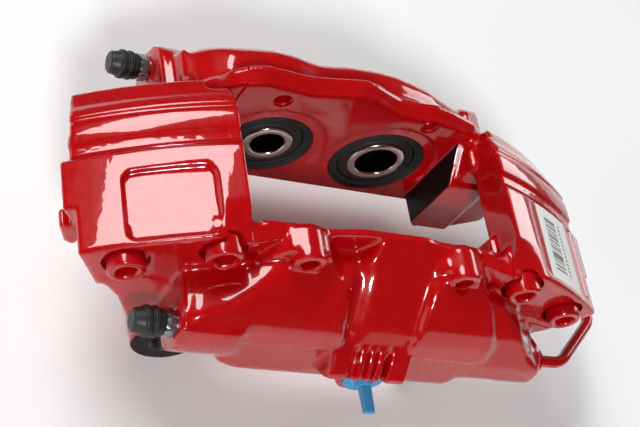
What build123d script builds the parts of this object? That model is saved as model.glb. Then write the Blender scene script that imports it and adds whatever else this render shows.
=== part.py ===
from build123d import *
import os
from math import asin, cos, radians, sin, sqrt

os.makedirs("parts", exist_ok=True)

# Two-piece fixed brake caliper with four opposed pistons, all lengths in millimetres.
# +X runs along the disc's rim, +Y crosses the disc to the outboard half, +Z is radially out.
# The shapes are drawn about a design centre on the disc's mid-plane, level with the piston axes and
# half way between them. "w" is the distance from that plane, the same on both halves. Every piece
# is moved at the end, so that the row's origin is midway between the two mounting holes, in the
# plane of the lug faces.

# Disc and bridge
DISC_CENTRE_Z = -175.0
ARCH_R = 230.5
ARCH_INNER_R = 210.0
WINDOW_X = 68.0
INBOARD_END_X = 137.0
OUTBOARD_END_X = 133.0
END_STEP_X = 4.0
INBOARD_LEDGE_W = 46.0
OUTBOARD_LEDGE_W = 37.0
OUTBOARD_LEDGE_DROP = 6.5
SHOULDER_W = 20.0
SHOULDER_R = 202.0
FOOT_W = (15.0, 24.0)

# Piston walls and the abutments that carry the pads
WALL_W = 34.0
WALL_BOTTOM_Z = -27.0
INBOARD_CREST_W = 36.5
OUTBOARD_CREST_W = 42.0
INBOARD_RIM = [(-80, 24), (-70, 33), (-58, 38.5), (-46, 38.5), (-28, 38), (-13, 41.5), (19, 42), (28, 39.5),
               (36, 38.5), (46, 39), (58, 38), (70, 33), (80, 24)]
OUTBOARD_RIM = [(-80, 24), (-75, 28), (-70, 33), (-66, 41), (-60, 45.5), (-52, 48), (-40, 47), (-28, 46),
                (-17, 48.5), (-3, 51), (4, 50), (11, 46.5), (20, 43), (30, 42.5), (40, 43.5), (52, 41), (66, 36),
                (80, 24)]
INBOARD_BODY_TOP = [(-72, 6), (-67, 14), (-45, 20), (-18, 27), (-10, 28), (-6, 34), (-2, 42), (24, 42),
                    (38, 39), (48, 33), (57, 24), (66, 15), (70, 8)]
OUTBOARD_BODY_TOP = [(-82, 9), (-80, 21), (-75, 24), (-70, 30), (-62, 36), (-50, 41), (-40, 42.5), (-28, 41.5),
                     (-15, 38.5), (0, 41), (13, 42.5), (26, 41), (38, 37.5), (48, 33.5), (58, 28), (68, 19),
                     (70, 8)]
ABUTMENT_X = 61.2
ABUTMENT_W = 18.0
ABUTMENT_LOW_Z = 12.0
ABUTMENT_HIGH_Z = 26.5
BODY_W = 73.0

# Pistons: half spacing, then radius of bore, nose, nose hole and boot seat
PISTON_X = 29.9
SMALL = dict(x=-PISTON_X, bore=15.0, nose=12.3, hole=8.1, boot=21.7)
LARGE = dict(x=PISTON_X, bore=17.0, nose=14.55, hole=10.45, boot=23.75)
PISTON_CLEARANCE = 0.04
PISTON_LENGTH = 26.0
BORE_BOTTOM_W = 61.0
NOSE_LENGTH = 6.0
CUP_DEPTH = 20.0
CUP_LIP = 3.0
BOOT_SEAT_DEPTH = 7.5
SEAL_W = 46.0
SEAL_WIDTH = 3.2
SEAL_DEPTH = 3.0

# Bridge bolts, M10 socket head
BOLT_XZ = [(-112.0, 12.6), (-76.0, 30.0), (76.0, 30.0), (112.0, 12.6)]
BOLT_R = 4.95
BOLT_HEAD_R = 8.1
BOLT_HEAD_H = 10.0
BOLT_SEAT_W = 41.4
BOLT_LENGTH = 62.0
BOLT_CLEAR_R = 5.4
BOLT_TAPPED_R = 5.0
SPOTFACE_R = 10.2
HEX_SOCKET_AF = 8.0
HEX_SOCKET_DEPTH = 5.5
DOWEL_R = 3.0
DOWEL_LENGTH = 14.0
DOWEL_XZ = [(-94.0, 24.5), (94.0, 24.5)]

# Pad pins
PIN_X = 39.2
PIN_Z = 34.9
PIN_HOLE_R = 4.0
PIN_BOSS_R = 7.6
PIN_BOSS_W = 51.4

# Mounting lugs on the inboard half
LUG_X = 69.9
LUG_Z = -48.0
LUG_R = 16.0
LUG_HOLE_R = 7.0
LUG_FACE_W = 50.0
LUG_BACK_W = 31.0

# Fluid ports
BLEEDER_W = 65.5
BLEEDER_Z = 0.0
BLEEDER_FACE_X = -87.0
BLEEDER_BOSS_R = 10.5
BLEEDER_THREAD_R = 5.0
BLEEDER_DEPTH = 16.0
TUBE_W = 60.0
TUBE_Z = -13.2
TUBE_FACE_X = 106.4
TUBE_BOSS_R = 11.5
TUBE_R = 3.0
TUBE_BORE_R = 1.75
TUBE_NUT_AF = 12.0
TUBE_NUT_LENGTH = 4.5
TUBE_REACH_X = 156.0
PORT_X = 18.5
PORT_Z = -27.5
PORT_FACE_W = 69.5
PORT_R = 5.0
PORT_DEPTH = 15.0
PORT_PLUG_DEPTH = 3.0
PORT_BOSS_R = 13.0
PORT_SEAT_R = 10.6
GALLERY_R = 2.0
HOOD_RIBS = [(-13.5, -3.5), (0.5, 3.6), (5.6, 8.2), (9.8, 13.2), (16.6, 26.6)]
HOOD_NOTCH = (13.3, 16.5)

# Bleeder screws and caps
BLEEDER_HEX_AF = 11.0
BLEEDER_HEX_X = (-88.2, -92.8)
BLEEDER_END_X = -103.5
BLEEDER_BORE_R = 1.6
CAP_R = 6.8
CAP_END_X = -106.5

# Data label on the inboard half's right-hand bridge leg
LABEL_X = (91.0, 118.5)
LABEL_W = (1.4, 41.4)
LABEL_THICKNESS = 0.25
PANEL_DEPTH = 0.8

UP_Y = (0, 1, 0)
UP_X = (1, 0, 0)


def rod_y(x, z, y0, y1, r):
    """Cylinder along Y between y0 and y1."""
    return Pos(0, y0, 0) * extrude(Plane.XZ * Pos(x, z) * Circle(r), amount=y1 - y0, dir=UP_Y)


def rod_x(y, z, x0, x1, r):
    """Cylinder along X between x0 and x1."""
    return Pos(x0, 0, 0) * extrude(Plane.YZ * Pos(y, z) * Circle(r), amount=x1 - x0, dir=UP_X)


def hex_y(x, z, y0, y1, across_flats):
    radius = across_flats / 2 / cos(radians(30))
    face = Plane.XZ * Pos(x, z) * RegularPolygon(radius, 6)
    return Pos(0, y0, 0) * extrude(face, amount=y1 - y0, dir=UP_Y)


def hex_x(y, z, x0, x1, across_flats):
    radius = across_flats / 2 / cos(radians(30))
    face = Plane.YZ * Pos(y, z) * RegularPolygon(radius, 6)
    return Pos(x0, 0, 0) * extrude(face, amount=x1 - x0, dir=UP_X)


def outline(points, corner=0.0):
    """Closed polygon with every corner rounded to the same radius."""
    face = make_face(Polyline(*points, close=True))
    return fillet(face.vertices(), corner) if corner else face


def prism_y(points, y0, y1, corner=0.0):
    """XZ outline extruded along Y."""
    return Pos(0, y0, 0) * extrude(Plane.XZ * outline(points, corner), amount=y1 - y0, dir=UP_Y)


def prism_x(points, x0, x1, corner=0.0):
    """YZ outline extruded along X."""
    return Pos(x0, 0, 0) * extrude(Plane.YZ * outline(points, corner), amount=x1 - x0, dir=UP_X)


def turned_y(points, x, z):
    """(radius, w) outline turned about a Y axis through (x, z)."""
    face = make_face(Polyline(*points, close=True))
    return Pos(x, 0, z) * revolve(face, Axis.Y)


def turned_x(points, y, z):
    """(x, radius) outline turned about an X axis through (y, z)."""
    face = make_face(Polyline(*points, close=True))
    return Pos(0, y, z) * revolve(face, Axis.X)


def arch_z(x, r=ARCH_R):
    return sqrt(r * r - x * x) + DISC_CENTRE_Z


def mirrored(points):
    """The same outline on the other side of X = 0."""
    return [(-x, z) for x, z in reversed(points)]


def prism_z(points, z0, z1, corner=0.0):
    """XY outline extruded along Z."""
    return Pos(0, 0, z0) * extrude(outline(points, corner), amount=z1 - z0)


def both_ends(points, y0, y1, corner=0.0):
    """The same XZ outline at +X and at -X."""
    return prism_y(points, y0, y1, corner) + prism_y(mirrored(points), y0, y1, corner)


def leg_sector(end_x, y0, y1, r0, r1=ARCH_R):
    """Both bridge legs between two radii about the disc's axis, with radial end faces."""
    angle = asin(end_x / ARCH_R)
    reach = [(r * sin(angle), DISC_CENTRE_Z + r * cos(angle)) for r in (r0 - 12, r1 + 12)]
    wedge = both_ends([(WINDOW_X, reach[0][1]), reach[0], reach[1], (WINDOW_X, reach[1][1] + 30)], y0, y1)
    band = rod_y(0, DISC_CENTRE_Z, y0, y1, r1) - rod_y(0, DISC_CENTRE_Z, y0 - 1, y1 + 1, r0)
    return band & wedge


def shoulders(end_x, ledge_w):
    """End blocks beside the disc's path, where the bridge bolts are seated and the pads pushed."""
    block = leg_sector(end_x, SHOULDER_W, ledge_w, SHOULDER_R)
    inner = [(ABUTMENT_X + 4, WALL_BOTTOM_Z), (86, WALL_BOTTOM_Z), (101, -17), (101, 10), (ABUTMENT_X + 4, 30)]
    return block + both_ends(inner, SHOULDER_W, ledge_w, 2)


def feet(end_x):
    """Small pads under the ends of the bridge legs."""
    x = end_x - 1.5
    toe = [(x, 0), (x - 7.5, -14), (x - 13, -17), (x - 15, -4)]
    return both_ends(toe, FOOT_W[0], FOOT_W[1], 1.8)


def abutments():
    """Machined guides at both ends of the pad window."""
    outer = WINDOW_X + 16
    side = [(ABUTMENT_X, WALL_BOTTOM_Z + 3), (ABUTMENT_X + 3, WALL_BOTTOM_Z), (outer, WALL_BOTTOM_Z),
            (outer, 34), (ABUTMENT_X, 34)]
    top = [(ABUTMENT_W, WALL_BOTTOM_Z - 1), (ABUTMENT_W, ABUTMENT_LOW_Z), (WALL_W - 1, ABUTMENT_HIGH_Z),
           (WALL_W + 2, ABUTMENT_HIGH_Z), (WALL_W + 2, WALL_BOTTOM_Z - 1)]
    return both_ends(side, ABUTMENT_W, WALL_W + 2) & prism_x(top, -outer, outer)


def piston_wall(rim, crest_w):
    """Plate across the window that the piston bores open into, with its crest along the window."""
    wall = [(rim[-1][0], WALL_BOTTOM_Z)] + list(reversed(rim)) + [(rim[0][0], WALL_BOTTOM_Z)]
    web = [(rim[-1][0], WALL_BOTTOM_Z), (rim[-1][0], 24), (rim[0][0], 24), (rim[0][0], WALL_BOTTOM_Z)]
    return prism_y(wall, WALL_W, crest_w, 1.5) + prism_y(web, WALL_W, INBOARD_LEDGE_W)


def cylinder_block(top, crown):
    """Outer body round the bores: an XZ outline crossed with a side profile and a plan."""
    front = top + [(70, -19), (58, -30), (-40, -31.5), (-60, -21), (top[0][0], -13)]
    face_w = crown[-1][0]
    side = [(WALL_W, WALL_BOTTOM_Z), (WALL_W, crown[0][1] + 1)] + crown + [(face_w, -24), (face_w - 3, -30)]
    left = top[0][0] - 2
    plan = [(left, 30), (left, 62), (-54, BODY_W + 1), (56, BODY_W + 1), (76, 65), (76, 30)]
    body = prism_y(front, WALL_W + 2, BODY_W + 4, 2.5) & prism_x(side, left, 80, 1.0)
    return body & prism_z(plan, -50, 60, 5)


def end_bosses(tall):
    """Blocks carrying the bleeder at -X and the crossover tube at +X."""
    rise = tall / 3
    left = [(BLEEDER_FACE_X, -18), (BLEEDER_FACE_X, 11 + rise), (-60, 15 + rise), (-56, -21)]
    left_side = [(WALL_W, -20), (WALL_W, 13 + rise), (60, 11.5 + rise), (67, 10.5 + rise), (72.5, 7 + rise),
                 (75, 0), (74, -8), (70, -17), (66, -20)]
    right = [(52, 24 + tall), (70, 18 + tall), (83, 11 + tall), (94, 1 + tall / 2), (TUBE_FACE_X - 3, -4),
             (TUBE_FACE_X, -8), (TUBE_FACE_X, -20), (TUBE_FACE_X - 5, -24), (84, -22), (66, -20), (52, -26)]
    right_side = [(WALL_W, -26), (WALL_W, 24 + tall), (51, 22 + tall), (63, 9 + tall), (71, -5), (71, -17),
                  (66, -23.5), (58, -26)]
    blocks = prism_y(left, WALL_W + 2, BODY_W + 3, 2) & prism_x(left_side, -100, -40, 3)
    blocks += prism_y(right, WALL_W + 2, BODY_W, 2) & prism_x(right_side, 40, 120, 3)
    blocks += rod_x(TUBE_W, TUBE_Z, TUBE_FACE_X - 20, TUBE_FACE_X, TUBE_BOSS_R)
    return blocks + rod_x(BLEEDER_W, BLEEDER_Z, BLEEDER_FACE_X - 0.8, BLEEDER_FACE_X + 4, BLEEDER_BOSS_R - 2)


def fluid_cuts():
    """Bores, seal grooves, boot seats and drilled galleries of one half."""
    cuts = rod_y(SMALL["x"], 0, WALL_W - 8, BORE_BOTTOM_W, SMALL["bore"])
    cuts += rod_y(LARGE["x"], 0, WALL_W - 8, BORE_BOTTOM_W, LARGE["bore"])
    for p in (SMALL, LARGE):
        cuts += rod_y(p["x"], 0, WALL_W - 8, WALL_W + BOOT_SEAT_DEPTH, p["boot"])
        cuts += rod_y(p["x"], 0, SEAL_W, SEAL_W + SEAL_WIDTH + 0.3, p["bore"] + SEAL_DEPTH)
        cuts += rod_y(p["x"], 0, BORE_BOTTOM_W - 1, BLEEDER_W, GALLERY_R)
    seat = BLEEDER_FACE_X + BLEEDER_DEPTH
    cuts += rod_x(BLEEDER_W, BLEEDER_Z, BLEEDER_FACE_X - 5, seat, BLEEDER_THREAD_R)
    cuts += Pos(seat, BLEEDER_W, BLEEDER_Z) * (Rot(0, 90, 0) * Cone(
        BLEEDER_THREAD_R, GALLERY_R, 3, align=(Align.CENTER, Align.CENTER, Align.MIN)))
    cuts += rod_x(BLEEDER_W, BLEEDER_Z, seat, LARGE["x"], GALLERY_R)
    cuts += rod_x(TUBE_W, TUBE_Z, LARGE["x"], TUBE_FACE_X + 4, GALLERY_R)
    cuts += rod_x(TUBE_W, TUBE_Z, TUBE_FACE_X - 12, TUBE_FACE_X + 4, TUBE_R + 2.0)
    return cuts


def panel(x0, x1, w0, w1, depth):
    """Shallow panel sunk into the bridge's outer arc, its floor on a smaller arc."""
    tall = arch_z(min(abs(x0), abs(x1))) + 8
    low = arch_z(max(abs(x0), abs(x1))) - 8
    slab = Pos((x0 + x1) / 2, (w0 + w1) / 2, (tall + low) / 2) * Box(x1 - x0, w1 - w0, tall - low)
    slab = fillet(slab.edges().filter_by(Axis.Z), 5)
    return slab - rod_y(0, DISC_CENTRE_Z, w0 - 1, w1 + 1, ARCH_R - depth)


def lug_arm(side):
    """Arm from the end block down to one mounting lug."""
    s = side
    web = [(s * 98, 3), (s * 118, -3), (s * 105, -16), (s * 100, -24), (s * 88, -43),
           (s * (LUG_X + 8), LUG_Z - 10), (s * (LUG_X - 14), LUG_Z - 4), (s * 44, -24), (s * 60, -10)]
    arm = prism_y(web if s < 0 else list(reversed(web)), LUG_BACK_W + 2, LUG_FACE_W - 3, 2)
    lug = rod_y(s * LUG_X, LUG_Z, LUG_BACK_W, LUG_FACE_W, LUG_R)
    return arm + chamfer(lug.edges(), 1.0)


def corner_webs(top_z):
    """Webs in plan that widen the wall towards the legs and round the window's corners."""
    web = [(-WINDOW_X - 1, WALL_W - 7), (-WINDOW_X + 1, WALL_W - 3.5), (-WINDOW_X + 3.5, WALL_W - 1),
           (-WINDOW_X + 7, WALL_W + 1), (-46, WALL_W + 1), (-46, 38), (-54, 41.5), (-62, 44),
           (-WINDOW_X - 1, 45)]
    return prism_z(web, ABUTMENT_HIGH_Z, top_z - 1.5) + prism_z(mirrored(web), ABUTMENT_HIGH_Z, top_z - 1.5)


def casting(end_x, end_step, ledge_w, crest_w, rim, body_top, crown, tall):
    """Solid common to both halves, built on the +Y side of the disc."""
    solid = leg_sector(end_x, 0, FOOT_W[1], ARCH_INNER_R)
    solid += leg_sector(end_x - end_step, FOOT_W[1] - 1, ledge_w, ARCH_INNER_R)
    solid += shoulders(end_x - end_step, ledge_w) + abutments()
    solid += piston_wall(rim, crest_w) + cylinder_block(body_top, crown) + end_bosses(tall)
    return solid + corner_webs(rim[2][1])


def bolt_cuts():
    """Clearance holes and spotfaces of the inboard half."""
    cuts = [rod_y(x, z, -1, BOLT_SEAT_W + 1, BOLT_CLEAR_R)
            + rod_y(x, z, BOLT_SEAT_W, BOLT_SEAT_W + 26, SPOTFACE_R) for x, z in BOLT_XZ]
    return cuts[0] + cuts[1] + cuts[2] + cuts[3]


def port_body():
    """Boss of the brake hose port, with the ribbed hood above it that stops the hose end turning."""
    low = [(52, 5), (66, 3.5), (75, -4), (80, -10), (80, -22), (52, -22)]
    high = [(52, 8.5), (66, 7), (76, -0.5), (81, -6.5), (81, -21), (52, -21)]
    body = prism_x(low, -14, 27, 1.2)
    for x0, x1 in HOOD_RIBS:
        body += prism_x(high, x0, x1, 1.2)
    body -= prism_x([(62, 12), (62, -4), (83, -16), (83, 12)], *HOOD_NOTCH)
    return body + rod_y(PORT_X, PORT_Z, 46, PORT_FACE_W, PORT_BOSS_R)


def inboard_housing():
    crown = [(INBOARD_CREST_W, 41), (55, 24), (65, 13), (70, 4), (71.5, -4)]
    body = casting(INBOARD_END_X, END_STEP_X, INBOARD_LEDGE_W, INBOARD_CREST_W, INBOARD_RIM, INBOARD_BODY_TOP,
                   crown, 3)
    body += feet(INBOARD_END_X)
    small = [(35, 0), (35, 37), (40, 35), (47, 32), (52, 29), (60, 23), (66, 16.5), (70, 10), (72.5, 0)]
    large = [(35, 0), (35, 38), (47, 36.5), (52, 32.5), (60, 25.5), (66, 18), (70, 10), (72.5, 0)]
    body += prism_y([(-83, -4), (-83, 13), (-72, 17), (-60, 24), (-50, 30), (-38, 32.5), (-26, 31), (-17, 26),
                     (-12, 18), (-10, -4)], 35, 74, 2) & prism_x(small, -90, 80)
    body += prism_y([(23, -4), (25, 30), (32, 36), (48, 35), (58, 28), (65, 17), (70, -4)],
                    35, 74, 2) & prism_x(large, -80, 80)
    for s in (-1, 1):
        body += rod_y(s * PIN_X, PIN_Z, WALL_W + 2, PIN_BOSS_W, PIN_BOSS_R)
        x = s * PIN_X
        body += prism_y([(x - 19, 26), (x - 9, 38.9), (x - 3, 41.6), (x + 3, 41.6), (x + 9, 38.9), (x + 19, 26)],
                        WALL_W + 1.2, PIN_BOSS_W - 4.7)
        body += lug_arm(s)
    body += port_body()
    body -= fluid_cuts() + bolt_cuts()
    for x, z in DOWEL_XZ:
        body -= rod_y(x, z, -1, DOWEL_LENGTH / 2 + 0.3, DOWEL_R)
    for s in (-1, 1):
        body -= rod_y(s * PIN_X, PIN_Z, WALL_W - 2, PIN_BOSS_W + 4, PIN_HOLE_R)
        body -= rod_y(s * LUG_X, LUG_Z, LUG_BACK_W - 4, LUG_FACE_W + 4, LUG_HOLE_R)
    body -= panel(-115.5, -80, 10.5, 43.5, 2.6)
    body -= panel(85, 126, 0.9, 42.5, PANEL_DEPTH)
    body -= rod_y(PORT_X, PORT_Z, PORT_FACE_W - PORT_DEPTH, PORT_FACE_W + 4, PORT_R)
    body -= rod_y(PORT_X, PORT_Z, PORT_FACE_W, PORT_FACE_W + 12, PORT_SEAT_R)
    body -= Pos(PORT_X + 3, BORE_BOTTOM_W - 1.5, -19) * Cylinder(GALLERY_R, 18)
    return mirror(body, about=Plane.XZ)


def outboard_housing():
    crown = [(OUTBOARD_CREST_W, 41.5), (47, 39.5), (54, 41), (60, 37), (67, 28), (BODY_W, 16)]
    body = casting(OUTBOARD_END_X, 0, OUTBOARD_LEDGE_W, OUTBOARD_CREST_W, OUTBOARD_RIM, OUTBOARD_BODY_TOP,
                   crown, 9)
    body += leg_sector(OUTBOARD_END_X + 1.2, 0, 11.5, ARCH_INNER_R + 2, ARCH_R - 1)
    top = turned_y([(ARCH_R, SHOULDER_W), (ARCH_R - OUTBOARD_LEDGE_DROP, OUTBOARD_LEDGE_W),
                    (ARCH_R + 9, OUTBOARD_LEDGE_W), (ARCH_R + 9, SHOULDER_W)], 0, DISC_CENTRE_Z)
    legs = [(WINDOW_X - 4, -10), (150, -10), (150, 60), (WINDOW_X - 4, 60)]
    body -= top & both_ends(legs, 0, OUTBOARD_LEDGE_W)
    body -= fluid_cuts()
    for x, z in BOLT_XZ:
        body -= rod_y(x, z, -1, BOLT_LENGTH - BOLT_SEAT_W + 3, BOLT_TAPPED_R)
    for x, z in DOWEL_XZ:
        body -= rod_y(x, z, -1, DOWEL_LENGTH / 2 + 0.3, DOWEL_R)
    for s in (-1, 1):
        body -= rod_y(s * PIN_X, PIN_Z, WALL_W - 2, WALL_W + 10, PIN_HOLE_R)
    return body


def bridge_bolts():
    bolts = []
    for x, z in BOLT_XZ:
        head = rod_y(x, z, -BOLT_SEAT_W - BOLT_HEAD_H, -BOLT_SEAT_W, BOLT_HEAD_R)
        head = chamfer(head.edges().group_by(Axis.Y)[0], 0.8)
        head -= hex_y(x, z, -BOLT_SEAT_W - BOLT_HEAD_H - 1, -BOLT_SEAT_W - BOLT_HEAD_H + HEX_SOCKET_DEPTH,
                      HEX_SOCKET_AF)
        shank = rod_y(x, z, -BOLT_SEAT_W, BOLT_LENGTH - BOLT_SEAT_W, BOLT_R)
        bolts.append(head + chamfer(shank.edges().group_by(Axis.Y)[-1], 1.0))
    return Compound(bolts)


def alignment_dowels():
    return Compound([chamfer(rod_y(x, z, -DOWEL_LENGTH / 2, DOWEL_LENGTH / 2, DOWEL_R - 0.02).edges(), 0.6)
                     for x, z in DOWEL_XZ])


def piston(p, side):
    """Hollow cup, open towards the pad, with a reduced nose that the boot's lip grips."""
    r = p["bore"] - PISTON_CLEARANCE
    w0, w1 = WALL_W, WALL_W + PISTON_LENGTH
    points = [(p["hole"] + 0.8, w0), (p["nose"] - 0.8, w0), (p["nose"], w0 + 0.8),
              (p["nose"], w0 + NOSE_LENGTH),
              (r - 0.8, w0 + NOSE_LENGTH + 1.5), (r, w0 + NOSE_LENGTH + 2.3), (r, w1 - 1), (r - 1, w1), (0, w1),
              (0, w0 + CUP_DEPTH), (p["hole"] + 1.6, w0 + CUP_DEPTH), (p["hole"] + 1.6, w0 + CUP_LIP + 1.6),
              (p["hole"], w0 + CUP_LIP), (p["hole"], w0 + 0.8)]
    body = turned_y(points, p["x"], 0)
    return body if side > 0 else mirror(body, about=Plane.XZ)


def piston_seal(p, side):
    """Square-section ring lying in the bore's groove."""
    w0, w1 = SEAL_W + 0.15, SEAL_W + 0.15 + SEAL_WIDTH
    inner, outer = p["bore"] - 0.01, p["bore"] + SEAL_DEPTH - 0.1
    ring = turned_y([(inner, w0), (outer, w0), (outer, w1), (inner, w1)], p["x"], 0)
    return ring if side > 0 else mirror(ring, about=Plane.XZ)


def boot_ring(p, side):
    """Outer half of the dust boot: bead pressed into its seat, then one fold."""
    w0 = WALL_W
    outer, inner = p["boot"] - 0.02, p["bore"] + 2.3
    points = [(inner, w0 + 1.6), (inner + 1.0, w0 + 0.5), (outer - 1.6, w0 + 0.5), (outer - 0.9, w0 - 0.4),
              (outer, w0), (outer, w0 + 7.2), (outer - 1.8, w0 + 7.2), (outer - 1.8, w0 + 1.8),
              (inner + 1.2, w0 + 1.8), (inner + 1.2, w0 + 5.6), (inner, w0 + 5.6)]
    ring = turned_y(points, p["x"], 0)
    return ring if side > 0 else mirror(ring, about=Plane.XZ)


def boot_lip(p, side):
    """Inner half of the dust boot: lip gripping the nose and a skirt inside the fold."""
    w0 = WALL_W + 0.8
    inner, outer = p["nose"] + 0.02, p["bore"] + 1.8
    points = [(inner, w0 + 0.6), (inner + 0.9, w0), (inner + 1.8, w0 + 0.9), (outer - 1.2, w0 + 0.9),
              (outer, w0 + 1.9), (outer, w0 + 6.2), (outer - 1.0, w0 + 6.2), (outer - 1.0, w0 + 2.4),
              (inner + 1.8, w0 + 2.4), (inner + 1.8, w0 + 4.6), (inner, w0 + 4.6)]
    ring = turned_y(points, p["x"], 0)
    return ring if side > 0 else mirror(ring, about=Plane.XZ)


def bleeder_screw(side):
    """Hexagon, hose nipple above it, thread and cone-ended tip below it, cross drilled."""
    y, z = side * BLEEDER_W, BLEEDER_Z
    hex0, hex1 = BLEEDER_HEX_X
    seat = BLEEDER_FACE_X + BLEEDER_DEPTH
    end = BLEEDER_END_X
    stem = turned_x([(end, 0), (end, 2.6), (end + 1.5, 3.6), (end + 4, 3.6), (end + 6, 2.9), (hex1, 3.3),
                     (hex1, 4.4), (hex0, 4.4), (hex0, 4.95), (seat - 4, 4.95),
                     (seat - 3, 3.6), (seat - 0.4, 3.6), (seat + 2.0, 1.0), (seat + 2.0, 0)], y, z)
    screw = stem + hex_x(y, z, hex1, hex0, BLEEDER_HEX_AF)
    screw -= rod_x(y, z, BLEEDER_END_X - 1, seat - 2.6, BLEEDER_BORE_R)
    return screw - Pos(seat - 2.0, y, z) * Cylinder(0.9, 12)


def bleeder_cap(side):
    """Rubber cap with three gripping ribs over the hose nipple."""
    y, z = side * BLEEDER_W, BLEEDER_Z
    x1 = BLEEDER_HEX_X[1] - 0.3
    r = CAP_R
    outer = [(CAP_END_X, 0), (CAP_END_X, r - 1.9), (CAP_END_X + 0.8, r - 1.1), (x1 - 8.6, r - 0.7)]
    for k in range(3):
        start = x1 - 8.2 + 2.6 * k
        outer += [(start, r), (start + 1.2, r), (start + 1.6, r - 0.8), (start + 2.2, r - 0.8)]
    outer += [(x1, r - 0.4), (x1, 3.75), (BLEEDER_END_X - 0.4, 3.75), (BLEEDER_END_X - 0.4, 0)]
    return turned_x(outer, y, z)


def crossover_tube():
    """One steel pipe looping round the disc's rim from half to half."""
    x0, reach, w, z = TUBE_FACE_X - 10.0, TUBE_REACH_X, TUBE_W, TUBE_Z
    path = FilletPolyline((x0, -w, z), (TUBE_FACE_X + 20, -w, z), (reach, -32, z - 4), (reach, 32, z - 4),
                          (TUBE_FACE_X + 20, w, z), (x0, w, z), radius=14)
    start = Plane(origin=(x0, -w, z), z_dir=(1, 0, 0))
    outer = sweep(start * Circle(TUBE_R), path=path)
    inner = sweep(start * Circle(TUBE_BORE_R), path=path)
    return outer - inner


def tube_nuts():
    """Flare nuts: a hexagon outside the boss, a threaded shank inside it."""
    nuts = []
    for s in (-1, 1):
        y = s * TUBE_W
        nut = hex_x(y, TUBE_Z, TUBE_FACE_X + 0.05, TUBE_FACE_X + TUBE_NUT_LENGTH, TUBE_NUT_AF)
        nut += rod_x(y, TUBE_Z, TUBE_FACE_X - 9, TUBE_FACE_X + TUBE_NUT_LENGTH + 1, TUBE_R + 1.95)
        nuts.append(nut - rod_x(y, TUBE_Z, TUBE_FACE_X - 12, TUBE_FACE_X + 12, TUBE_R + 0.03))
    return Compound(nuts)


def port_plug():
    """Push-in transit plug of the brake hose port, with its pull tab."""
    y = -PORT_FACE_W
    plug = rod_y(PORT_X, PORT_Z, y - 2.2, y - 0.05, 9.9)
    plug += rod_y(PORT_X, PORT_Z, y - 0.05, y + PORT_PLUG_DEPTH, PORT_R - 0.06)
    plug += rod_y(PORT_X, PORT_Z, y - 5, y - 2, 4.2)
    tab = [(y - 1.5, PORT_Z + 2.2), (y - 18, PORT_Z + 1.5), (y - 18, PORT_Z - 1.5), (y - 1.5, PORT_Z - 2.2)]
    return plug + prism_x(tab, PORT_X - 2.6, PORT_X + 2.6, 0.6)


def data_label():
    """Thin label following the sunk panel's arc."""
    x0, x1 = LABEL_X
    w0, w1 = LABEL_W
    r = ARCH_R - PANEL_DEPTH
    shell = rod_y(0, DISC_CENTRE_Z, -w1, -w0, r + LABEL_THICKNESS)
    shell -= rod_y(0, DISC_CENTRE_Z, -w1 - 1, -w0 + 1, r)
    return shell & (Pos((x0 + x1) / 2, -(w0 + w1) / 2, 15) * Box(x1 - x0, w1 - w0, 60))


def save(shape, node):
    """Write one sub-part in the row's frame, whose origin is between the mounting holes."""
    export_step(Pos(0, LUG_FACE_W, -LUG_Z) * shape, f"parts/{node}.step")


save(inboard_housing(), "inboard_housing")
save(outboard_housing(), "outboard_housing")
save(bridge_bolts(), "bridge_bolts")
save(alignment_dowels(), "alignment_dowels")
save(crossover_tube(), "crossover_tube")
save(tube_nuts(), "tube_nuts")
save(port_plug(), "port_plug")
save(data_label(), "data_label")
for side, half_name in ((-1, "inboard"), (1, "outboard")):
    save(bleeder_screw(side), f"bleeder_screw_{half_name}")
    save(bleeder_cap(side), f"bleeder_cap_{half_name}")
    for size, p in (("small", SMALL), ("large", LARGE)):
        save(piston(p, side), f"piston_{half_name}_{size}")
        save(piston_seal(p, side), f"piston_seal_{half_name}_{size}")
        save(boot_ring(p, side), f"boot_ring_{half_name}_{size}")
        save(boot_lip(p, side), f"boot_lip_{half_name}_{size}")
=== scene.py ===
import math

import bmesh
import bpy
import numpy as np
from mathutils import Matrix, Vector


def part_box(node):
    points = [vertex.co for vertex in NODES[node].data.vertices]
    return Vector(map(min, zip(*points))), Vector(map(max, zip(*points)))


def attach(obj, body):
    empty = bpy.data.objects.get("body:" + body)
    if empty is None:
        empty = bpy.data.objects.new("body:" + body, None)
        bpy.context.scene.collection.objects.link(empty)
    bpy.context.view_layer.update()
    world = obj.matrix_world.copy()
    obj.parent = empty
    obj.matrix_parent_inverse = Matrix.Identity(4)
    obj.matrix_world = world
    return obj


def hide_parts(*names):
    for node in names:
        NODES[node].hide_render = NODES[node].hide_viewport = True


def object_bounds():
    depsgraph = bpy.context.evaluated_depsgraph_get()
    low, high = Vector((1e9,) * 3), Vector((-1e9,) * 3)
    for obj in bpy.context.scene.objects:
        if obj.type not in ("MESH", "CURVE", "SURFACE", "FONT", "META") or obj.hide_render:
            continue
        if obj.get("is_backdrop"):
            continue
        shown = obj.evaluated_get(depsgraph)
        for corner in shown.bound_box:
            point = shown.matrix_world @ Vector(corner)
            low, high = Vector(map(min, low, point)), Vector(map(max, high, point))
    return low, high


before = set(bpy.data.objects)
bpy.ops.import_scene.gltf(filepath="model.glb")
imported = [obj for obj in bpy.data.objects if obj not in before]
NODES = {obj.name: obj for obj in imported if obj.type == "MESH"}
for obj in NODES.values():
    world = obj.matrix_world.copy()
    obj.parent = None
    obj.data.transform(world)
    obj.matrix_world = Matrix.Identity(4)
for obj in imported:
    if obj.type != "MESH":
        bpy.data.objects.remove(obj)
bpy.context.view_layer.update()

# Shapes are drawn in millimetres about the caliper's centre: half way between the pistons and on the
# disc's mid-plane. "w" is the distance from that plane; side -1 is the inboard half, +1 the outboard.
MM = 0.001
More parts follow.
